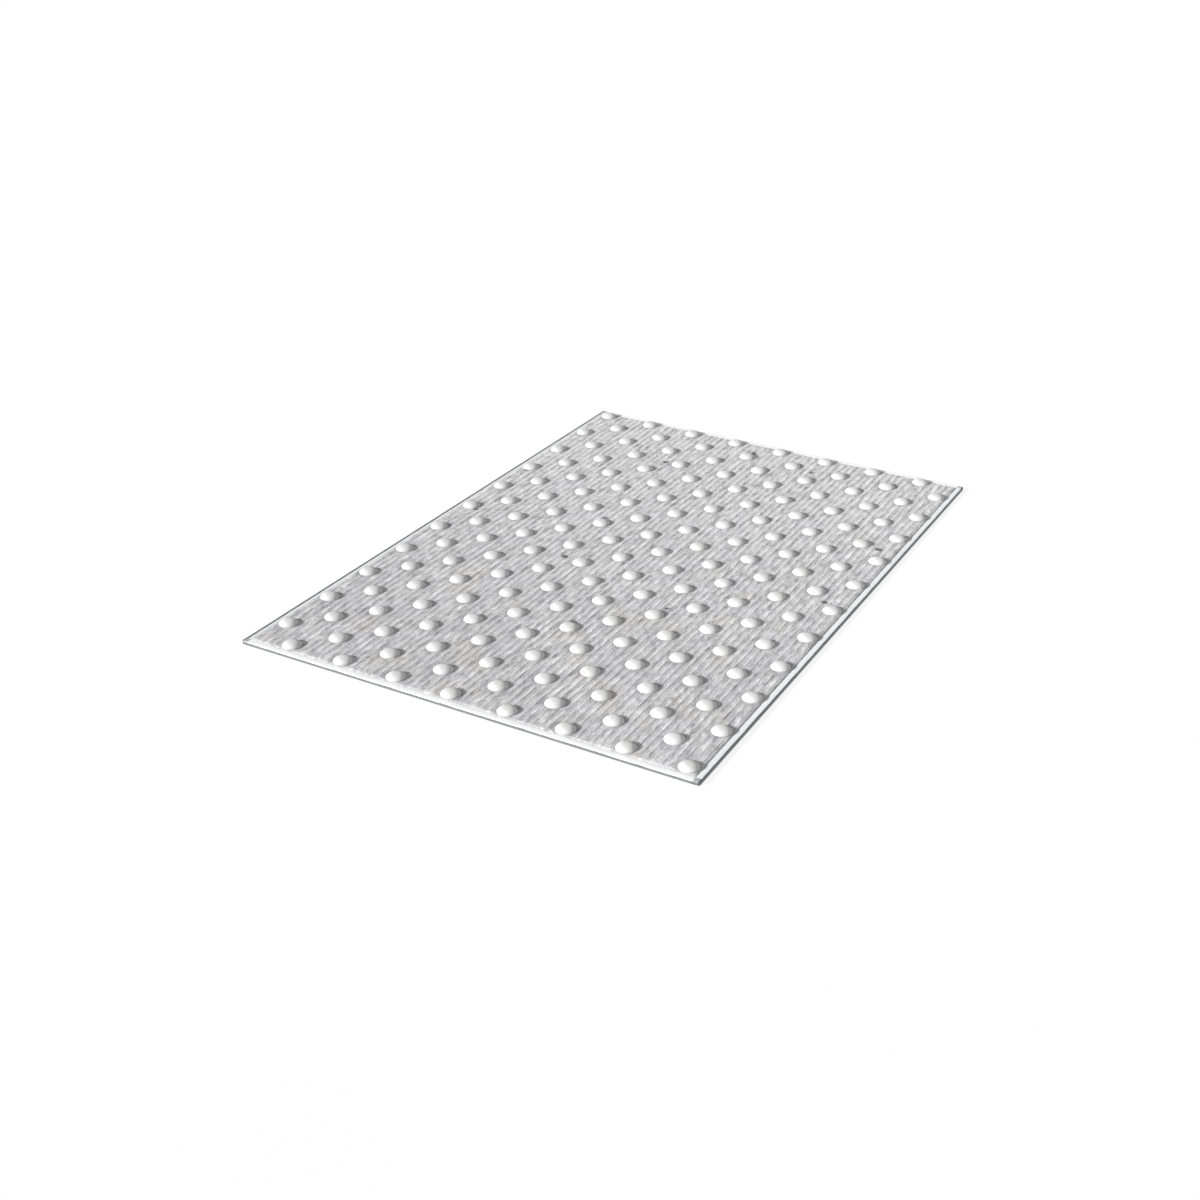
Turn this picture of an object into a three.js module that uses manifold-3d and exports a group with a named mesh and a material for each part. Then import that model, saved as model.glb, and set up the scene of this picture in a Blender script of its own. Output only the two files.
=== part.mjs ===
// A tactile ground panel. A tread sheet with fine ribs and staggered raised domes is bonded to a
// backing board, and its rim slopes down all round. Metal edging grips the board and frames the
// sheet with a low flat lip, moulded corner pieces with hidden legs join the edging, and adhesive
// strips under the board fix it to the ground.
//
// Millimetres. +Z is up, +Y runs along the long side from the near end to the far end, and the
// origin is the centre of the underside. The fine ribs are not cut into the solid tread sheet.

import * as THREE from 'three';
import { mergeVertices } from 'three/addons/utils/BufferGeometryUtils.js';
import Module from 'manifold-3d';

// Overall size: 24 in by 36 in.
const INCH = 25.4;
const PANEL_WIDTH = 24 * INCH;
const PANEL_LENGTH = 36 * INCH;

// Domes: staggered rows inside a margin at each long side. A dome's side rises as
// height = DOME_HEIGHT * (1 - (radius / DOME_RADIUS) ^ DOME_FULLNESS) ^ DOME_SHOULDER.
const DOMES_PER_ROW = 8;
const ROWS = 22;
const SIDE_MARGIN = 3.6;
const DOME_PITCH_ACROSS = (PANEL_WIDTH - 2 * SIDE_MARGIN) / DOMES_PER_ROW;
const ROW_SPACING = PANEL_LENGTH / ROWS;
const DOME_RADIUS = 12.3;
const DOME_HEIGHT = 5;
const DOME_FULLNESS = 3;
const DOME_SHOULDER = 0.82;
const DOME_RING_PARTS = [1, 0.88, 0.62];
const DOME_SIDES = 8;
const DOME_SUNK = 1.5;

// Heights of the layers, from the ground up, with a thin bond line between them.
const BOND = 0.25;
const FLANGE_THICKNESS = 0.75;
const BOARD_THICKNESS = 2;
const SHEET_THICKNESS = 2;
const BOARD_BOTTOM = FLANGE_THICKNESS + BOND;
const SHEET_BOTTOM = BOARD_BOTTOM + BOARD_THICKNESS + BOND;

// Edging: a channel that opens inwards, with a flat lip over the board and round the sheet.
const WALL_THICKNESS = 1;
const LIP_WIDTH = 8;
const LIP_THICKNESS = 1;
const LIP_BOTTOM = SHEET_BOTTOM;
const EDGE_HEIGHT = LIP_BOTTOM + LIP_THICKNESS;
const OUTER_ROUND = 1;
const INNER_ROUND = 0.4;
const ROUND_STEPS = 4;

// The sheet's rim rises inwards from the height of the lip to the top of the sheet.
const SHEET_INSET = LIP_WIDTH + BOND;
const RIM_WIDTH = 2.25;
const RIM_LOW = LIP_THICKNESS;

// Corner pieces: a square block that shows, with two legs level with the board.
const CORNER_SIZE = LIP_WIDTH;
const CORNER_ROUND = 3;
const CORNER_ARC_STEPS = 6;
const LEG_END = 45;
const LEG_OVERLAP = 1;
const FLANGE_WIDTH = CORNER_SIZE;

// Adhesive strips, lengthwise under the board.
const STRIP_COUNT = 5;
const STRIP_WIDTH = 50;
const STRIP_SPACING = 116;
const STRIP_END_MARGIN = 13;

const INNER_EDGE = WALL_THICKNESS + BOND;
const CORNER_CLEAR = CORNER_SIZE + BOND;

// The sides in turn, each a quarter turn on from the one before.
const QUARTER_TURN = Math.PI / 2;
const SIDES = [
  { side: 'near', length: PANEL_WIDTH, place: [0, -PANEL_LENGTH / 2, 0] },
  { side: 'right', length: PANEL_LENGTH, place: [PANEL_WIDTH / 2, 0, 0] },
  { side: 'far', length: PANEL_WIDTH, place: [0, PANEL_LENGTH / 2, 0] },
  { side: 'left', length: PANEL_LENGTH, place: [-PANEL_WIDTH / 2, 0, 0] },
];

const treadMaterial = new THREE.MeshStandardMaterial({ color: 0xc2c1c3, roughness: 0.62 });
const edgingMaterial = new THREE.MeshStandardMaterial({
  color: 0xdcdee6,
  roughness: 0.38,
  metalness: 0.85,
});
const boardMaterial = new THREE.MeshStandardMaterial({ color: 0x8b8d90, roughness: 0.75 });
const cornerMaterial = new THREE.MeshStandardMaterial({ color: 0xb4b5b8, roughness: 0.55 });
const stripMaterial = new THREE.MeshStandardMaterial({ color: 0x2b2c2e, roughness: 0.9 });

const wasm = await Module();
wasm.setup();

// A closed three.js geometry as a solid that can be joined to others.
function toSolid(geometry) {
  const bare = geometry.clone();
  bare.deleteAttribute('normal');
  bare.deleteAttribute('uv');
  const merged = mergeVertices(bare);
  const corners = merged.getIndex().array;
  const triangles = [];
  for (let i = 0; i < corners.length; i += 3) {
    const [a, b, c] = corners.slice(i, i + 3);
    if (a !== b && b !== c && c !== a) triangles.push(a, b, c);
  }
  return new wasm.Manifold(
    new wasm.Mesh({
      numProp: 3,
      vertProperties: merged.getAttribute('position').array,
      triVerts: Uint32Array.from(triangles),
    }),
  );
}

function toGeometry(solid) {
  const mesh = solid.getMesh();
  const geometry = new THREE.BufferGeometry();
  geometry.setAttribute('position', new THREE.BufferAttribute(mesh.vertProperties, 3));
  geometry.setIndex(new THREE.BufferAttribute(mesh.triVerts, 1));
  return geometry;
}

// A box that spans two corners.
function span([x0, y0, z0], [x1, y1, z1]) {
  const geometry = new THREE.BoxGeometry(x1 - x0, y1 - y0, z1 - z0);
  return geometry.translate((x0 + x1) / 2, (y0 + y1) / 2, (z0 + z1) / 2);
}

function flatPlate(shape, thickness, curveSegments = 1) {
  return new THREE.ExtrudeGeometry(shape, { depth: thickness, bevelEnabled: false, curveSegments });
}

// A plate as large as the panel, each corner cut to the same line of points, which are measured
// in from the panel's corner and go from the near or far side to the long side.
function notchedPlate(cornerLine, thickness) {
  const corner = (sx, sy) =>
    cornerLine.map(
      ([x, y]) => new THREE.Vector2(sx * (PANEL_WIDTH / 2 - x), sy * (PANEL_LENGTH / 2 - y)),
    );
  const outline = [
    ...corner(-1, -1).reverse(),
    ...corner(1, -1),
    ...corner(1, 1).reverse(),
    ...corner(-1, 1),
  ];
  return flatPlate(new THREE.Shape(outline), thickness);
}

// One dome, on a short foot that is sunk into the sheet.
function domeGeometry() {
  const profile = [new THREE.Vector2(0, -DOME_SUNK), new THREE.Vector2(DOME_RADIUS, -DOME_SUNK)];
  for (const part of DOME_RING_PARTS) {
    const height = DOME_HEIGHT * (1 - part ** DOME_FULLNESS) ** DOME_SHOULDER;
    profile.push(new THREE.Vector2(part * DOME_RADIUS, height));
  }
  profile.push(new THREE.Vector2(0, DOME_HEIGHT));
  return new THREE.LatheGeometry(profile, DOME_SIDES).rotateX(Math.PI / 2);
}

// Centres of the domes, from the far row to the near row.
function domeCentres() {
  const centres = [];
  const firstEdge = -PANEL_WIDTH / 2 + SIDE_MARGIN;
  for (let row = 0; row < ROWS; row += 1) {
    const shift = row % 2 === 0 ? 0.25 : 0.75;
    const y = PANEL_LENGTH / 2 - (row + 0.5) * ROW_SPACING;
    for (let i = 0; i < DOMES_PER_ROW; i += 1) {
      centres.push([firstEdge + (i + shift) * DOME_PITCH_ACROSS, y]);
    }
  }
  return centres;
}

// A bar of one section along X. The section's x becomes the distance in towards +Y from the side
// of the panel, and its y becomes the height.
function barAlongSide(section, length) {
  const geometry = flatPlate(new THREE.Shape(section), length);
  return geometry.rotateX(Math.PI / 2).rotateZ(Math.PI / 2).translate(-length / 2, 0, 0);
}

// The waste above the sloping rim of the sheet, as long as the panel.
function rimCutGeometry() {
  const waste = [
    [SHEET_INSET - 1, RIM_LOW],
    [SHEET_INSET, RIM_LOW],
    [SHEET_INSET + RIM_WIDTH, SHEET_THICKNESS],
    [SHEET_INSET + RIM_WIDTH, SHEET_THICKNESS + 1],
    [SHEET_INSET - 1, SHEET_THICKNESS + 1],
  ];
  return barAlongSide(waste.map(([x, y]) => new THREE.Vector2(x, y)), PANEL_LENGTH);
}

function treadSheetGeometry() {
  let solid = toSolid(notchedPlate([[SHEET_INSET, SHEET_INSET]], SHEET_THICKNESS));
  SIDES.forEach(({ place }, i) => {
    const cut = rimCutGeometry().rotateZ(i * QUARTER_TURN).translate(...place);
    solid = solid.subtract(toSolid(cut));
  });
  const dome = domeGeometry();
  for (const [x, y] of domeCentres()) {
    solid = solid.add(toSolid(dome.clone().translate(x, y, SHEET_THICKNESS)));
  }
  return toGeometry(solid);
}

// The board is also cut back for the legs of the corner pieces.
function backingBoardGeometry() {
  const legClear = LEG_END + BOND;
  const cornerLine = [
    [legClear, INNER_EDGE],
    [legClear, CORNER_CLEAR],
    [CORNER_CLEAR, CORNER_CLEAR],
    [CORNER_CLEAR, legClear],
    [INNER_EDGE, legClear],
  ];
  return notchedPlate(cornerLine, BOARD_THICKNESS);
}

// The edging's section: x is the distance in from the outer face, y is the height.
function edgingSection() {
  const section = [
    [0, 0],
    [FLANGE_WIDTH, 0],
    [FLANGE_WIDTH, FLANGE_THICKNESS],
    [WALL_THICKNESS, FLANGE_THICKNESS],
    [WALL_THICKNESS, LIP_BOTTOM],
    [LIP_WIDTH, LIP_BOTTOM],
  ];
  for (let step = 0; step <= ROUND_STEPS; step += 1) {
    const angle = (step / ROUND_STEPS) * (Math.PI / 2);
    section.push([
      LIP_WIDTH - INNER_ROUND * (1 - Math.cos(angle)),
      EDGE_HEIGHT - INNER_ROUND * (1 - Math.sin(angle)),
    ]);
  }
  for (let step = 0; step <= ROUND_STEPS; step += 1) {
    const angle = (step / ROUND_STEPS) * (Math.PI / 2);
    section.push([
      OUTER_ROUND * (1 - Math.sin(angle)),
      EDGE_HEIGHT - OUTER_ROUND * (1 - Math.cos(angle)),
    ]);
  }
  return section.map(([x, y]) => new THREE.Vector2(x, y));
}

// A corner piece with its outer corner at the origin and its legs along +X and +Y.
function cornerPieceGeometry() {
  const block = new THREE.Shape();
  block.moveTo(CORNER_ROUND, 0);
  block.lineTo(CORNER_SIZE, 0);
  block.lineTo(CORNER_SIZE, CORNER_SIZE);
  block.lineTo(0, CORNER_SIZE);
  block.lineTo(0, CORNER_ROUND);
  block.absarc(CORNER_ROUND, CORNER_ROUND, CORNER_ROUND, Math.PI, 1.5 * Math.PI, false);
  const low = BOARD_BOTTOM;
  const high = BOARD_BOTTOM + BOARD_THICKNESS;
  const legStart = CORNER_SIZE - LEG_OVERLAP;
  const legX = span([legStart, INNER_EDGE, low], [LEG_END, CORNER_SIZE, high]);
  const legY = span([INNER_EDGE, legStart, low], [CORNER_SIZE, LEG_END, high]);
  const solid = toSolid(flatPlate(block, EDGE_HEIGHT, CORNER_ARC_STEPS));
  return toGeometry(solid.add(toSolid(legX)).add(toSolid(legY)));
}

function addPiece(group, name, geometry, material, position, turn = 0) {
  const mesh = new THREE.Mesh(geometry, material);
  mesh.name = name;
  mesh.position.set(...position);
  mesh.rotation.z = turn;
  group.add(mesh);
}

const panel = new THREE.Group();
const edgeX = PANEL_WIDTH / 2;
const edgeY = PANEL_LENGTH / 2;

addPiece(panel, 'tread_sheet', treadSheetGeometry(), treadMaterial, [0, 0, SHEET_BOTTOM]);
addPiece(panel, 'backing_board', backingBoardGeometry(), boardMaterial, [0, 0, BOARD_BOTTOM]);

SIDES.forEach(({ side, length, place }, i) => {
  const edging = barAlongSide(edgingSection(), length - 2 * CORNER_CLEAR);
  addPiece(panel, `edge_trim_${side}`, edging, edgingMaterial, place, i * QUARTER_TURN);
});

const corners = [
  ['near_left', [-edgeX, -edgeY, 0]],
  ['near_right', [edgeX, -edgeY, 0]],
  ['far_right', [edgeX, edgeY, 0]],
  ['far_left', [-edgeX, edgeY, 0]],
];
corners.forEach(([corner, position], i) => {
  const piece = cornerPieceGeometry();
  addPiece(panel, `corner_piece_${corner}`, piece, cornerMaterial, position, i * QUARTER_TURN);
});

const stripHalfLength = PANEL_LENGTH / 2 - FLANGE_WIDTH - STRIP_END_MARGIN;
for (let i = 0; i < STRIP_COUNT; i += 1) {
  const x = (i - (STRIP_COUNT - 1) / 2) * STRIP_SPACING;
  const strip = span(
    [-STRIP_WIDTH / 2, -stripHalfLength, 0],
    [STRIP_WIDTH / 2, stripHalfLength, FLANGE_THICKNESS],
  );
  addPiece(panel, `adhesive_strip_${i + 1}`, strip, stripMaterial, [x, 0, 0]);
}

export default panel;
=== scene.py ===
"""Looks for a tactile ground panel: a ribbed grey tread with raised pale domes, satin edging with
moulded corners, and a board with adhesive strips underneath. Metres, +Z up, +Y lengthwise."""

import math

import bmesh
import bpy
import numpy as np
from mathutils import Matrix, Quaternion, Vector


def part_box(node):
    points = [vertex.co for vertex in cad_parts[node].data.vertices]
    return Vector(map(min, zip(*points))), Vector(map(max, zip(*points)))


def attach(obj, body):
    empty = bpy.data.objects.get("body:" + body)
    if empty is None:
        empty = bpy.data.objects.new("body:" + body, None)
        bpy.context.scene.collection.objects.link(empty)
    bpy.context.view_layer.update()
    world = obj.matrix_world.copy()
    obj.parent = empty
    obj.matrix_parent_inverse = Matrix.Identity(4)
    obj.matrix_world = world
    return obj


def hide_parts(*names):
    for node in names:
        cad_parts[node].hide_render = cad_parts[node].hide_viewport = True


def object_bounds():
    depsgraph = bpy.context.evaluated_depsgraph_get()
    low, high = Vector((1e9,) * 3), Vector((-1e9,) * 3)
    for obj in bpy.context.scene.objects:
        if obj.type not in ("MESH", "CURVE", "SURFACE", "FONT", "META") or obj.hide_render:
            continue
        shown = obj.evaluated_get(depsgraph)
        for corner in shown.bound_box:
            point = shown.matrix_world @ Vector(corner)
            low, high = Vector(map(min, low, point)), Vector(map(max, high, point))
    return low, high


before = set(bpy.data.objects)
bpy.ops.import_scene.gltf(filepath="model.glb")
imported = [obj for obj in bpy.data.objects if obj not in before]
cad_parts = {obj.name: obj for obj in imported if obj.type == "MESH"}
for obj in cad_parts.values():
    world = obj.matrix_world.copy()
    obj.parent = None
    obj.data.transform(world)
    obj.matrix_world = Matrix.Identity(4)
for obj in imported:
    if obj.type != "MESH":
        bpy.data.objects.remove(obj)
cad_low, cad_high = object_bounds()

# ---- Sizes, from the frame and a few driving dimensions ----

MM = 0.001
SHEET_LOW, SHEET_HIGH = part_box("tread_sheet")
PANEL_WIDTH = cad_high.x - cad_low.x
PANEL_LENGTH = cad_high.y - cad_low.y

DOMES_PER_ROW = 8
ROWS = 22
SIDE_MARGIN = 3.6 * MM
DOME_PITCH = (PANEL_WIDTH - 2 * SIDE_MARGIN) / DOMES_PER_ROW
ROW_SPACING = PANEL_LENGTH / ROWS
EVEN_ROW_SHIFT = 0.25
ODD_ROW_SHIFT = 0.75
DOME_RADIUS = 12.3 * MM
DOME_HEIGHT = 5 * MM
DOME_FULLNESS = 3
DOME_SHOULDER = 0.82
DOME_SUNK = 1.4 * MM
DOME_SIDES = 32
DOME_RINGS = 9
FIELD_TOP = SHEET_HIGH.z - DOME_HEIGHT

RIBS_PER_PITCH = 8
RIB_PITCH = DOME_PITCH / RIBS_PER_PITCH
RIB_COUNT = DOMES_PER_ROW * RIBS_PER_PITCH - 1
RIB_HALF_WIDTH = 2.3 * MM
RIB_HEIGHT = 0.65 * MM
RIB_CLEAR_OF_DOME = 13 * MM
RIB_CLEAR_OF_RIM = 1 * MM
RIB_FADE = 2.5 * MM
RIB_WEAR_SEED = 22
RIB_LEAST = 0.25
RIB_UNEVENNESS = 1.1

# Where the field's grid lines lie: across each rib as parts of its half width, and lengthwise as
# distances from each row of domes.
RIB_LINES = (-1, -0.5, -0.18, 0.18, 0.5, 1)
ROW_LINES = tuple(d * MM for d in (-18, -14.5, -11, -7, -2.5, 2.5, 7, 11, 14.5, 18))
LEAST_FROM_RIM = 1 * MM
RIM_LINES = 2

RIM_WIDTH = 2.25 * MM
# How far the painted shade and dirt round each dome's foot reach out over the field.
FOOT_SHADE_AND_DIRT_REACH = 4.5 * MM

EDGE_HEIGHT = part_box("edge_trim_near")[1].z
LIP_WIDTH = 8 * MM
LIP_THICKNESS = 1 * MM
LIP_BOTTOM = EDGE_HEIGHT - LIP_THICKNESS
WALL_THICKNESS = 1 * MM
OUTER_ROUND = 1 * MM
OUTER_STEPS = 8
INNER_ROUND = 0.4 * MM
INNER_STEPS = 4
FLANGE_THICKNESS = 0.75 * MM
END_GAP = 0.25 * MM

# Softening of CAD nodes: near vertices are welded, flat faces joined, and edges that turn by more
# than ROUNDED_ABOVE are rounded.
SOFT_EDGE = 0.3 * MM
ROUNDED_ABOVE = math.radians(40)
FLAT_ENOUGH = math.radians(2)
WELD = 0.01 * MM
SLIVER = 0.002 * MM

STRIP_COUNT = 5
STRIP_GROOVES = 5
STRIP_STEPS = 8 * STRIP_GROOVES
STRIP_STRETCHES = 60
STRIP_EDGE_TIGHTNESS = 24

# Rises of a strip's lower face, as parts of its thickness.
STRIP_EDGE_RISE = 0.3
STRIP_GROOVE = 0.12
STRIP_UNEVENNESS = 0.15
STRIP_MOST_RISE = 0.5

# An edge is shaded as sharp above these angles.
FIELD_CREASE = math.radians(20)
EDGING_CREASE = math.radians(40)
SOFTENED_CREASE = math.radians(50)
STRIP_CREASE = math.radians(60)

FLOOR_HALF = 20
FLOOR_DROP = 0.1 * MM

# ---- Camera and light ----

VIEW_TARGET = Vector((0.01666, -0.14565, 0.006))
VIEW_AZIMUTH = math.radians(27.914)
VIEW_ELEVATION = math.radians(27.232)
VIEW_ROLL = math.radians(1.330)
VIEW_DISTANCE = 2.0714
VIEW_LENS = 48.927
SENSOR_WIDTH = 36

SUN_AZIMUTH = math.radians(-38)
SUN_ELEVATION = math.radians(19.6)
SUN_STRENGTH = 5.8
SUN_SPREAD = math.radians(3)
SKY_STRENGTH = 0.44


def direction(azimuth, elevation):
    """The unit vector from the panel towards something seen at that azimuth and elevation."""
    return Vector((
        math.sin(azimuth) * math.cos(elevation),
        -math.cos(azimuth) * math.cos(elevation),
        math.sin(elevation),
    ))


def add_object(name, data):
    made = bpy.data.objects.new(name, data)
    bpy.context.scene.collection.objects.link(made)
    return made


def make_camera():
    data = bpy.data.cameras.new("camera")
    data.lens = VIEW_LENS
    data.sensor_width = SENSOR_WIDTH
    camera = add_object("camera", data)
    back = direction(VIEW_AZIMUTH, VIEW_ELEVATION)
    camera.location = VIEW_TARGET + back * VIEW_DISTANCE
    camera.rotation_mode = "QUATERNION"
    roll = Quaternion((0, 0, 1), VIEW_ROLL)
    camera.rotation_quaternion = (-back).to_track_quat("-Z", "Y") @ roll
    bpy.context.scene.camera = camera


def make_light():
    data = bpy.data.lights.new("sun", "SUN")
    data.energy = SUN_STRENGTH
    data.angle = SUN_SPREAD
    sun = add_object("sun", data)
    towards = direction(SUN_AZIMUTH, SUN_ELEVATION)
    sun.rotation_mode = "QUATERNION"
    sun.rotation_quaternion = (-towards).to_track_quat("-Z", "Y")
    world = bpy.data.worlds.new("studio")
    world.use_nodes = True
    background = world.node_tree.nodes["Background"]
    background.inputs["Color"].default_value = (1, 1, 1, 1)
    background.inputs["Strength"].default_value = SKY_STRENGTH
    bpy.context.scene.world = world
    bpy.context.scene.view_settings.view_transform = "Standard"


# ---- Meshes ----

def mesh_object(name, vertices, faces, smooth=True):
    mesh = bpy.data.meshes.new(name)
    mesh.from_pydata([tuple(v) for v in vertices], [], faces)
    mesh.validate()
    mesh.update()
    mesh.polygons.foreach_set("use_smooth", [smooth] * len(mesh.polygons))
    return add_object(name, mesh)


def ring_faces(first, second, count):
    """Faces between two rings of vertices that start at those indices."""
    faces = []
    for k in range(count):
        after = (k + 1) % count
        faces.append((first + k, first + after, second + after, second + k))
    return faces


def smoothstep(low, high, value):
    """0 below low and 1 above high, with a smooth rise between."""
    t = np.clip((value - low) / (high - low), 0, 1)
    return t * t * (3 - 2 * t)


def dome_centres():
    """Centres of the domes, in staggered rows from the far end to the near end."""
    centres = []
    first_edge = -PANEL_WIDTH / 2 + SIDE_MARGIN
    for row in range(ROWS):
        shift = EVEN_ROW_SHIFT if row % 2 == 0 else ODD_ROW_SHIFT
        y = PANEL_LENGTH / 2 - (row + 0.5) * ROW_SPACING
        for i in range(DOMES_PER_ROW):
            centres.append((first_edge + (i + shift) * DOME_PITCH, y))
    return centres


def distance_to_dome(x, y):
    """How far each point is from the nearest dome's centre."""
    best = np.full(x.shape, np.inf)
    for cx, cy in dome_centres():
        best = np.minimum(best, np.hypot(x - cx, y - cy))
    return best


def distance_to_edge(x, y):
    """How far each point is inside the sheet's edge."""
    return np.minimum(SHEET_HIGH.x - np.abs(x), SHEET_HIGH.y - np.abs(y))


def rib_crests():
    """Where the crests of the ribs lie across the panel."""
    first_edge = -PANEL_WIDTH / 2 + SIDE_MARGIN
    return first_edge + np.arange(1, RIB_COUNT + 1) * RIB_PITCH


def field_lines():
    """The grid lines of the field: some across each rib and along each row, and the rim's."""
    across = [SHEET_LOW.x, SHEET_LOW.x + RIM_WIDTH]
    for crest in rib_crests():
        for part in RIB_LINES:
            across.append(crest + part * RIB_HALF_WIDTH)
    across += [SHEET_HIGH.x - RIM_WIDTH, SHEET_HIGH.x]
    along = [SHEET_LOW.y, SHEET_LOW.y + RIM_WIDTH]
    for row in range(ROWS):
        centre = -PANEL_LENGTH / 2 + (row + 0.5) * ROW_SPACING
        for offset in ROW_LINES:
            y = centre + offset
            if abs(y) < SHEET_HIGH.y - RIM_WIDTH - LEAST_FROM_RIM:
                along.append(y)
    along += [SHEET_HIGH.y - RIM_WIDTH, SHEET_HIGH.y]
    return np.array(across), np.array(along)


def rib_wear(rows, columns):
    """Uneven rib heights: a random value for each rib at each grid line, smoothed lengthwise."""
    draws = np.random.default_rng(RIB_WEAR_SEED).random((rows, RIB_COUNT))
    draws[1:-1] = 0.25 * draws[:-2] + 0.5 * draws[1:-1] + 0.25 * draws[2:]
    rib = np.clip((np.arange(columns) - RIM_LINES) // len(RIB_LINES), 0, RIB_COUNT - 1)
    return RIB_LEAST + RIB_UNEVENNESS * draws[:, rib]


def make_field():
    """The tread sheet's ribbed top, sloping rim, sides and underside, as one closed mesh."""
    across, along = field_lines()
    columns, rows = len(across), len(along)
    x, y = np.meshgrid(across, along)
    crests = rib_crests()
    nearest = crests[np.abs(x[..., None] - crests).argmin(-1)]
    rib = np.cos(np.clip(np.abs(x - nearest) / RIB_HALF_WIDTH, 0, 1) * math.pi / 2) ** 2
    to_dome = distance_to_dome(x, y)
    to_edge = distance_to_edge(x, y)
    clear = smoothstep(RIB_CLEAR_OF_DOME, RIB_CLEAR_OF_DOME + RIB_FADE, to_dome)
    to_flat = to_edge - RIM_WIDTH
    clear *= smoothstep(RIB_CLEAR_OF_RIM, RIB_CLEAR_OF_RIM + RIB_FADE, to_flat)
    flat = np.clip(to_edge / RIM_WIDTH, 0, 1)
    z = EDGE_HEIGHT + (FIELD_TOP - EDGE_HEIGHT) * flat
    z += RIB_HEIGHT * rib * clear * rib_wear(rows, columns)
    vertices = np.stack([x, y, z], -1).reshape(-1, 3).tolist()
    faces = []
    for j in range(rows - 1):
        for i in range(columns - 1):
            a = j * columns + i
            faces.append((a, a + 1, a + columns + 1, a + columns))
    rim = list(range(columns))
    rim += [j * columns + columns - 1 for j in range(1, rows)]
    rim += [(rows - 1) * columns + i for i in range(columns - 2, -1, -1)]
    rim += [j * columns for j in range(rows - 2, 0, -1)]
    first = len(vertices)
    for v in rim:
        vertices.append([vertices[v][0], vertices[v][1], SHEET_LOW.z])
    count = len(rim)
    for k in range(count):
        after = (k + 1) % count
        faces.append((rim[k], first + k, first + after, rim[after]))
    faces.append(tuple(first + k for k in range(count - 1, -1, -1)))
    field = mesh_object("tread_field", vertices, faces)
    field.data.set_sharp_from_angle(angle=FIELD_CREASE)
    # Painted shade and dirt: a darkening stored on the field, full at each dome's foot and fading
    # outwards, and full on the sheet's sides and underside.
    foot = np.exp(-np.clip(to_dome - DOME_RADIUS, 0, None) / FOOT_SHADE_AND_DIRT_REACH)
    dome_foot_shade_and_dirt = np.concatenate([foot.ravel(), np.ones(count)])
    layer = field.data.attributes.new("dome_foot_shade_and_dirt", "FLOAT", "POINT")
    layer.data.foreach_set("value", dome_foot_shade_and_dirt.astype(np.float32))
    return field


def dome_profile():
    """Radius and height of a dome's rings, from its sunk foot to just short of its top."""
    profile = [(DOME_RADIUS, -DOME_SUNK)]
    for ring in range(DOME_RINGS):
        part = math.cos(ring / DOME_RINGS * math.pi / 2)
        height = DOME_HEIGHT * (1 - part ** DOME_FULLNESS) ** DOME_SHOULDER
        profile.append((part * DOME_RADIUS, height))
    return profile


def make_domes():
    """All the domes as closed caps that sink a little into the field."""
    profile = dome_profile()
    vertices, faces = [], []
    sides = DOME_SIDES
    turns = [2 * math.pi * s / sides for s in range(sides)]
    for cx, cy in dome_centres():
        first = len(vertices)
        for radius, height in profile:
            for turn in turns:
                x = cx + radius * math.cos(turn)
                y = cy + radius * math.sin(turn)
                vertices.append((x, y, FIELD_TOP + height))
        vertices.append((cx, cy, FIELD_TOP + DOME_HEIGHT))
        top = len(vertices) - 1
        for ring in range(len(profile) - 1):
            start = first + ring * sides
            faces += ring_faces(start, start + sides, sides)
        last = top - sides
        for s in range(sides):
            faces.append((last + s, last + (s + 1) % sides, top))
        faces.append(tuple(first + s for s in range(sides - 1, -1, -1)))
    return mesh_object("tread_domes", vertices, faces)


def arc(steps, place):
    """Points that place() gives for angles from none to a quarter turn."""
    return [place(step / steps * math.pi / 2) for step in range(steps + 1)]


def edging_section():
    """The edging's section as (distance in from the outer face, height)."""
    section = [
        (0, 0),
        (LIP_WIDTH, 0),
        (LIP_WIDTH, FLANGE_THICKNESS),
        (WALL_THICKNESS, FLANGE_THICKNESS),
        (WALL_THICKNESS, LIP_BOTTOM),
        (LIP_WIDTH, LIP_BOTTOM),
    ]
    section += arc(INNER_STEPS, lambda angle: (
        LIP_WIDTH - INNER_ROUND * (1 - math.cos(angle)),
        EDGE_HEIGHT - INNER_ROUND * (1 - math.sin(angle)),
    ))
    section += arc(OUTER_STEPS, lambda angle: (
        OUTER_ROUND * (1 - math.sin(angle)),
        EDGE_HEIGHT - OUTER_ROUND * (1 - math.cos(angle)),
    ))
    return section


def make_edging(side, turn, across, length):
    """One length of edging, its outer face `across` from the centre, cut into short stretches."""
    section = edging_section()
    count = len(section)
    spin = Quaternion((0, 0, 1), turn)
    half = length / 2 - LIP_WIDTH - END_GAP
    stretches = round(length / ROW_SPACING)
    vertices, faces = [], []
    for stretch in range(stretches + 1):
        along = half * (2 * stretch / stretches - 1)
        for inset, height in section:
            vertices.append(spin @ Vector((along, inset - across, height)))
    for stretch in range(stretches):
        faces += ring_faces(stretch * count, (stretch + 1) * count, count)
    faces.append(tuple(range(count - 1, -1, -1)))
    faces.append(tuple(range(stretches * count, (stretches + 1) * count)))
    edging = mesh_object(f"edging_{side}", vertices, faces)
    edging.data.set_sharp_from_angle(angle=EDGING_CREASE)
    return edging


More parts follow.
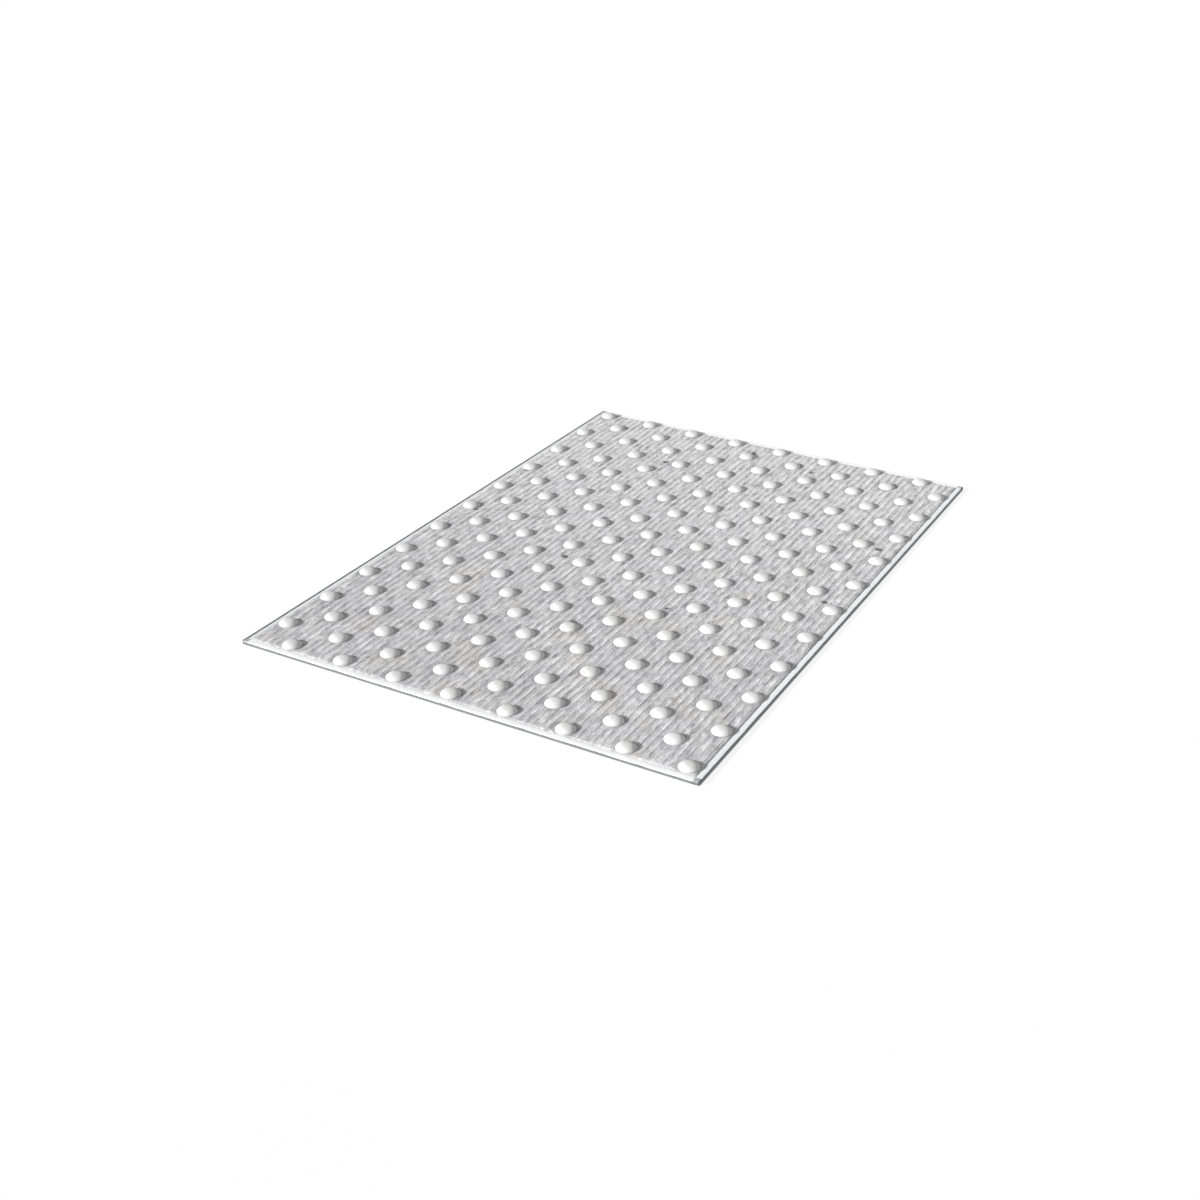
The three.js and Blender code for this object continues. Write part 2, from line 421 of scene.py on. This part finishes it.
def softened(node, name, segments):
    """A copy of a CAD node as a clean mesh with rounded edges."""
    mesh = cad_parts[node].data.copy()
    mesh.materials.clear()
    shape = bmesh.new()
    shape.from_mesh(mesh)
    bmesh.ops.remove_doubles(shape, verts=shape.verts, dist=WELD)
    bmesh.ops.dissolve_limit(
        shape,
        angle_limit=FLAT_ENOUGH,
        verts=shape.verts,
        edges=shape.edges,
    )
    sharp = [e for e in shape.edges if e.calc_face_angle(0) > ROUNDED_ABOVE]
    bmesh.ops.bevel(
        shape,
        geom=sharp,
        offset=SOFT_EDGE,
        segments=segments,
        profile=0.5,
        affect="EDGES",
        clamp_overlap=True,
    )
    bmesh.ops.remove_doubles(shape, verts=shape.verts, dist=SLIVER)
    bmesh.ops.dissolve_degenerate(shape, dist=SLIVER, edges=shape.edges)
    shape.to_mesh(mesh)
    shape.free()
    mesh.polygons.foreach_set("use_smooth", [True] * len(mesh.polygons))
    piece = add_object(name, mesh)
    piece.data.set_sharp_from_angle(angle=SOFTENED_CREASE)
    return piece


def make_strip(number):
    """A flat strip of adhesive with rounded long edges, shallow grooves and uneven pressing."""
    low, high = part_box(f"adhesive_strip_{number}")
    centre = (low.x + high.x) / 2
    half_width = (high.x - low.x) / 2
    thickness = high.z - low.z
    steps, stretches = STRIP_STEPS, STRIP_STRETCHES
    draws = np.random.default_rng(number).random((stretches + 1, steps + 1))
    vertices, faces = [], []
    for j in range(stretches + 1):
        y = low.y + (high.y - low.y) * j / stretches
        for i in range(steps + 1):
            part = 2 * i / steps - 1
            rise = STRIP_EDGE_RISE * abs(part) ** STRIP_EDGE_TIGHTNESS
            rise += STRIP_GROOVE * (0.5 - 0.5 * math.cos(2 * math.pi * STRIP_GROOVES * i / steps))
            rise += STRIP_UNEVENNESS * draws[j, i]
            z = low.z + thickness * min(rise, STRIP_MOST_RISE)
            vertices.append((centre + part * half_width, y, z))
    columns = steps + 1
    for j in range(stretches):
        for i in range(steps):
            a = j * columns + i
            faces.append((a, a + columns, a + columns + 1, a + 1))
    rim = list(range(columns))
    rim += [j * columns + steps for j in range(1, stretches + 1)]
    rim += [stretches * columns + i for i in range(steps - 1, -1, -1)]
    rim += [j * columns for j in range(stretches - 1, 0, -1)]
    first = len(vertices)
    for v in rim:
        vertices.append((vertices[v][0], vertices[v][1], high.z))
    count = len(rim)
    for k in range(count):
        after = (k + 1) % count
        faces.append((rim[k], rim[after], first + after, first + k))
    faces.append(tuple(range(first, first + count)))
    strip = mesh_object(f"adhesive_{number}", vertices, faces)
    strip.data.set_sharp_from_angle(angle=STRIP_CREASE)
    return strip


def make_floor():
    corner_signs = ((-1, -1), (1, -1), (1, 1), (-1, 1))
    corners = [(sx * FLOOR_HALF, sy * FLOOR_HALF, -FLOOR_DROP) for sx, sy in corner_signs]
    return mesh_object("floor", corners, [(0, 1, 2, 3)], smooth=False)


# ---- Materials ----

# The edging's metal, as its dull and its bright colour. One metal: the short ends get a
# lighter copy as painted light, the long sides a bluish copy as painted reflection of the sky.
END_METAL_PAINTED_LIGHTER = ((0.95, 0.953, 0.965), (0.985, 0.987, 0.99))
SIDE_METAL_PAINTED_SKY_TINT = ((0.85, 0.857, 0.90), (0.91, 0.917, 0.95))

# How far in from the outer face the painted shade and grime reach on top.
RIGHT_SHADE_AND_GRIME = 1.5 * MM
LEFT_SHADE_AND_GRIME = 4 * MM
CORNER_SHADE_AND_GRIME = 2.5 * MM

# Most of a noise's values lie between these two.
NOISE_LOW = 0.3
NOISE_HIGH = 0.7


class Nodes:
    """A material's node tree, with short calls to add and join nodes."""

    def __init__(self, name):
        self.material = bpy.data.materials.new(name)
        self.material.use_nodes = True
        self.tree = self.material.node_tree
        self.shader = self.tree.nodes["Principled BSDF"]
        self.place = self.add("ShaderNodeTexCoord").outputs["Object"]

    def add(self, kind, **settings):
        node = self.tree.nodes.new(kind)
        for key, value in settings.items():
            setattr(node, key, value)
        return node

    def join(self, source, target):
        """Set the target to a number or a colour, or link it to another node's output."""
        if isinstance(source, (int, float)):
            target.default_value = source
        elif isinstance(source, tuple):
            target.default_value = (*source, 1)
        else:
            self.tree.links.new(source, target)

    def noise(self, scale, detail=2.0, roughness=0.5, place=None):
        """Noise with about that many blotches to a metre."""
        node = self.add("ShaderNodeTexNoise")
        node.inputs["Scale"].default_value = scale
        node.inputs["Detail"].default_value = detail
        node.inputs["Roughness"].default_value = roughness
        self.join(place or self.place, node.inputs["Vector"])
        return node.outputs["Fac"]

    def spread(self, value, low, high, to_low=0.0, to_high=1.0):
        """That value as to_low below low and to_high above high, with a smooth change between."""
        node = self.add("ShaderNodeMapRange", interpolation_type="SMOOTHSTEP")
        self.join(value, node.inputs["Value"])
        node.inputs["From Min"].default_value = low
        node.inputs["From Max"].default_value = high
        node.inputs["To Min"].default_value = to_low
        node.inputs["To Max"].default_value = to_high
        return node.outputs["Result"]

    def cloud(self, scale, detail=2.0, roughness=0.5, to_low=0.0, to_high=1.0):
        """Noise drawn out to the whole range."""
        value = self.noise(scale, detail, roughness)
        return self.spread(value, NOISE_LOW, NOISE_HIGH, to_low, to_high)

    def mix(self, factor, a, b):
        """Colour a where the factor is 0, and b where it is 1."""
        node = self.add("ShaderNodeMix", data_type="RGBA")
        self.join(factor, node.inputs["Factor"])
        self.join(a, node.inputs["A"])
        self.join(b, node.inputs["B"])
        return node.outputs["Result"]

    def math(self, operation, a, b=0.0):
        node = self.add("ShaderNodeMath", operation=operation)
        self.join(a, node.inputs[0])
        self.join(b, node.inputs[1])
        return node.outputs[0]

    def position(self, axis):
        """A place's distance from the panel's origin along X, Y or Z."""
        node = self.add("ShaderNodeSeparateXYZ")
        self.join(self.place, node.inputs[0])
        return node.outputs[axis]

    def stretched(self, x, y, z):
        """The place, scaled along each axis: less than 1 draws a pattern out."""
        node = self.add("ShaderNodeMapping")
        self.join(self.place, node.inputs["Vector"])
        node.inputs["Scale"].default_value = (x, y, z)
        return node.outputs["Vector"]

    def layer(self, name):
        """A value stored on the mesh."""
        return self.add("ShaderNodeAttribute", attribute_name=name).outputs["Fac"]

    def bump(self, value, distance, strength=1.0):
        node = self.add("ShaderNodeBump")
        node.inputs["Strength"].default_value = strength
        node.inputs["Distance"].default_value = distance
        self.join(value, node.inputs["Height"])
        self.join(node.outputs["Normal"], self.shader.inputs["Normal"])

    def finish(self, colour, roughness, **fixed):
        """Join colour and roughness to the shader, set its fixed values, and give the material."""
        self.join(colour, self.shader.inputs["Base Color"])
        self.join(roughness, self.shader.inputs["Roughness"])
        for key, value in fixed.items():
            self.shader.inputs[key].default_value = value
        return self.material


def tread_material():
    """Grey moulded sheet: cloudy, streaked lengthwise, with painted shade and dirt round the domes'
    feet, a painted sheen paling it towards the far end, and dirt specks.
    """
    dull_grey, pale_grey = (0.495, 0.493, 0.501), (0.576, 0.574, 0.580)
    warm_grey, cool_grey = (0.555, 0.535, 0.51), (0.505, 0.505, 0.56)
    far_sheen_grey = (0.655, 0.653, 0.655)
    dark_grain, pale_grain = (0.27, 0.27, 0.28), (0.82, 0.82, 0.825)
    foot_shade_and_dirt_grey, speck_black = (0.20, 0.20, 0.205), (0.08, 0.08, 0.08)
    specks_per_metre = 6

    n = Nodes("tread_grey")
    colour = n.mix(n.cloud(7, 4, 0.6), dull_grey, pale_grey)
    colour = n.mix(n.spread(n.noise(16), 0.42, 0.68, 0.0, 0.6), colour, warm_grey)
    colour = n.mix(n.spread(n.noise(21), 0.42, 0.68, 0.0, 0.6), colour, cool_grey)
    # Painted sheen: the sheet is painted paler towards the far end, standing in for glancing
    # reflection of the sky.
    painted_far_sheen = n.spread(n.position("Y"), -PANEL_LENGTH / 2, PANEL_LENGTH / 2, 0.0, 0.75)
    colour = n.mix(painted_far_sheen, colour, far_sheen_grey)

    broad = n.noise(150, 2, 0.6, n.stretched(1, 0.3, 1))
    streak = n.noise(420, 3, 0.65, n.stretched(1, 0.33, 1))
    uneven = n.math("ADD", n.math("MULTIPLY", broad, 0.6), n.math("MULTIPLY", streak, 0.4))
    colour = n.mix(n.spread(uneven, 0.5, 0.66, 0.0, 0.75), colour, dark_grain)
    colour = n.mix(n.spread(uneven, 0.5, 0.34, 0.0, 0.75), colour, pale_grain)

    patch = n.spread(n.noise(90, 3, 0.6), 0.35, 0.65, 0.25, 1.0)
    # Painted shade and dirt round the domes' feet, made patchy by noise, darkens the grey here.
    dome_foot_shade_and_dirt = n.math("MULTIPLY", n.layer("dome_foot_shade_and_dirt"), patch)
    colour = n.mix(n.math("MULTIPLY", dome_foot_shade_and_dirt, 0.6), colour, foot_shade_and_dirt_grey)

    specks = n.add("ShaderNodeTexVoronoi", voronoi_dimensions="2D")
    specks.inputs["Scale"].default_value = specks_per_metre
    n.join(n.place, specks.inputs["Vector"])
    ragged = n.math("ADD", specks.outputs["Distance"], n.math("MULTIPLY", patch, 0.02))
    speck = n.spread(ragged, 0.028, 0.048, 0.85, 0.0)
    rare = n.spread(n.noise(4, 1), 0.47, 0.52)
    colour = n.mix(n.math("MULTIPLY", speck, rare), colour, speck_black)

    fine = n.noise(1500, 2, 0.6)
    n.bump(n.math("ADD", uneven, n.math("MULTIPLY", fine, 0.2)), 1.2 * MM, 0.8)
    roughness = n.spread(streak, NOISE_LOW, NOISE_HIGH, 0.7, 0.88)
    return n.finish(colour, roughness, **{"Specular IOR Level": 0.25})


def dome_material():
    """Smoother and paler than the field and scuffed on top, with painted shade and dirt at the foot
    and painted shade towards the left.
    """
    dull_white, bright_white = (0.655, 0.655, 0.65), (0.72, 0.72, 0.72)
    left_shade_grey, dome_foot_shade_and_dirt_grey = (0.59, 0.59, 0.59), (0.40, 0.40, 0.405)
    scuff_grey = (0.5, 0.5, 0.5)
    foot_height = 1.8 * MM

    n = Nodes("dome_pale")
    each = n.spread(n.noise(22, 1), 0.35, 0.65)
    colour = n.mix(each, dull_white, bright_white)
    # Painted shade: domes further to the left are painted greyer, standing in for light falling off
    # across the panel.
    painted_left_shade = n.spread(n.position("X"), -PANEL_WIDTH / 2, PANEL_WIDTH / 2, 0.6, 0.0)
    colour = n.mix(painted_left_shade, colour, left_shade_grey)
    # Painted shade and dirt: each dome is painted greyer near its foot, where it meets the field.
    foot = n.spread(n.position("Z"), FIELD_TOP, FIELD_TOP + foot_height, 0.75, 0.0)
    colour = n.mix(foot, colour, dome_foot_shade_and_dirt_grey)
    scuff = n.noise(300, 4, 0.65, n.stretched(1, 0.5, 1))
    colour = n.mix(n.spread(scuff, 0.55, 0.75, 0.0, 0.3), colour, scuff_grey)
    n.bump(scuff, 0.15 * MM, 0.5)
    roughness = n.spread(scuff, NOISE_LOW, NOISE_HIGH, 0.42, 0.6)
    return n.finish(colour, roughness, **{"Specular IOR Level": 0.3})


def add_painted_shade_and_grime(n, colour, edge):
    """Painted shade and grime over that colour: on outer faces up to the lip's rounding, and on top
    further out across the panel than that distance from the middle."""
    black_shade_and_grime, grey_shade_and_grime = (0.06, 0.062, 0.072), (0.17, 0.173, 0.185)
    raggedness, blur, cover = 1.6 * MM, 0.6 * MM, 0.95

    ragged = n.math("MULTIPLY", n.math("SUBTRACT", n.noise(60, 3, 0.6), 0.5), raggedness)
    height = n.math("ADD", n.position("Z"), ragged)
    top = EDGE_HEIGHT - OUTER_ROUND
    # Painted shade and grime: outer faces below the lip's rounding are darkened, standing in for
    # the shaded walls.
    low = n.spread(height, top, top + blur, cover, 0.0)
    reach = n.math("ADD", n.math("ABSOLUTE", n.position("X")), ragged)
    # Painted shadow and grime: a dark band along the top's outer edge, standing in for a shadowed
    # line round the panel.
    outside = n.spread(reach, edge - blur, edge + blur, 0.0, cover)
    shade_and_grime = n.mix(n.noise(140, 4, 0.7), black_shade_and_grime, grey_shade_and_grime)
    return n.mix(n.math("MAXIMUM", low, outside), colour, shade_and_grime)


def edging_material(name, shade_and_grime_edge, dull, bright):
    """Satin anodised metal with fine rubs, with painted shade and grime on its outer face."""
    rubbed = (0.64, 0.65, 0.69)

    n = Nodes(name)
    colour = n.mix(n.cloud(18, 3, 0.6), dull, bright)
    rub = n.noise(260, 4, 0.7)
    colour = n.mix(n.spread(rub, 0.55, 0.75, 0.0, 0.4), colour, rubbed)
    colour = add_painted_shade_and_grime(n, colour, shade_and_grime_edge)
    fine = n.noise(900)
    n.bump(n.math("ADD", rub, n.math("MULTIPLY", fine, 0.4)), 0.15 * MM, 0.5)
    return n.finish(colour, n.spread(rub, NOISE_LOW, NOISE_HIGH, 0.36, 0.52), Metallic=0.15)


def corner_material():
    """Mid-grey moulded corner, evenly pebbled, a little rubbed, with painted shade and grime
    outside.
    """
    dull_grey, pale_grey = (0.40, 0.405, 0.415), (0.52, 0.525, 0.535)
    pebble_grey = (0.30, 0.30, 0.31)

    n = Nodes("corner_grey")
    colour = n.mix(n.cloud(60, 3, 0.6), dull_grey, pale_grey)
    grain = n.noise(800, 3, 0.6)
    colour = n.mix(n.spread(grain, 0.5, 0.7, 0.0, 0.35), colour, pebble_grey)
    colour = add_painted_shade_and_grime(n, colour, PANEL_WIDTH / 2 - CORNER_SHADE_AND_GRIME)
    n.bump(grain, 0.25 * MM, 0.6)
    return n.finish(colour, n.spread(grain, NOISE_LOW, NOISE_HIGH, 0.45, 0.65))


def board_material():
    """Mid-grey fibre-filled board: mottled, with long flecks."""
    dull_grey, pale_grey = (0.22, 0.225, 0.235), (0.30, 0.305, 0.315)
    fleck_grey = (0.42, 0.42, 0.43)

    n = Nodes("board_grey")
    colour = n.mix(n.cloud(12, 4, 0.65), dull_grey, pale_grey)
    fleck = n.spread(n.noise(160, 3, 0.7, n.stretched(1, 0.15, 1)), 0.6, 0.7, 0.0, 0.5)
    colour = n.mix(fleck, colour, fleck_grey)
    n.bump(n.noise(350, 3, 0.6), 0.2 * MM, 0.5)
    return n.finish(colour, n.spread(fleck, 0.0, 0.5, 0.78, 0.66))


def strip_material():
    """Black butyl strip: soft sheen and a pebbled skin."""
    black, charcoal = (0.018, 0.018, 0.02), (0.04, 0.04, 0.043)

    n = Nodes("strip_butyl")
    colour = n.mix(n.cloud(30, 3, 0.6), black, charcoal)
    n.bump(n.noise(700, 3, 0.6), 0.25 * MM, 0.6)
    return n.finish(colour, n.cloud(200, to_low=0.6, to_high=0.85))


def floor_material():
    """Pale studio floor that glows a little, so that shadows on it stay light."""
    darker, lighter = (0.118, 0.118, 0.118), (0.122, 0.122, 0.122)
    glow = {"Emission Color": (1, 1, 1, 1), "Emission Strength": 0.85}

    n = Nodes("studio_floor")
    colour = n.mix(n.cloud(3), darker, lighter)
    return n.finish(colour, 0.9, **glow)


def dress(piece, material):
    piece.data.materials.clear()
    piece.data.materials.append(material)


def add_piece(piece, material, node):
    """Dress a piece and put it in the place of that CAD node."""
    dress(piece, material)
    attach(piece, "root")
    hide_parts(node)


# ---- The scene ----

make_camera()
make_light()

add_piece(make_field(), tread_material(), "tread_sheet")
add_piece(make_domes(), dome_material(), "tread_sheet")

# Painted light and reflection: lighter metal on the short ends, sky-tinted metal on the long sides,
# each with its own band of painted shade and grime.
short_edging_look = edging_material("edging_short", PANEL_WIDTH, *END_METAL_PAINTED_LIGHTER)
right_edging_look = edging_material("edging_right", PANEL_WIDTH / 2 - RIGHT_SHADE_AND_GRIME, *SIDE_METAL_PAINTED_SKY_TINT)
left_edging_look = edging_material("edging_left", PANEL_WIDTH / 2 - LEFT_SHADE_AND_GRIME, *SIDE_METAL_PAINTED_SKY_TINT)
quarter = math.pi / 2
for side, turn, across, length, finish in (
    ("near", 0, PANEL_LENGTH / 2, PANEL_WIDTH, short_edging_look),
    ("right", quarter, PANEL_WIDTH / 2, PANEL_LENGTH, right_edging_look),
    ("far", 2 * quarter, PANEL_LENGTH / 2, PANEL_WIDTH, short_edging_look),
    ("left", 3 * quarter, PANEL_WIDTH / 2, PANEL_LENGTH, left_edging_look),
):
    edging = make_edging(side, turn, across, length)
    add_piece(edging, finish, f"edge_trim_{side}")

corner_finish = corner_material()
for place in ("near_left", "near_right", "far_right", "far_left"):
    node = f"corner_piece_{place}"
    corner = softened(node, f"corner_{place}", segments=3)
    add_piece(corner, corner_finish, node)

board = softened("backing_board", "board", segments=2)
add_piece(board, board_material(), "backing_board")

strip_finish = strip_material()
for number in range(1, STRIP_COUNT + 1):
    add_piece(make_strip(number), strip_finish, f"adhesive_strip_{number}")

floor = make_floor()
dress(floor, floor_material())
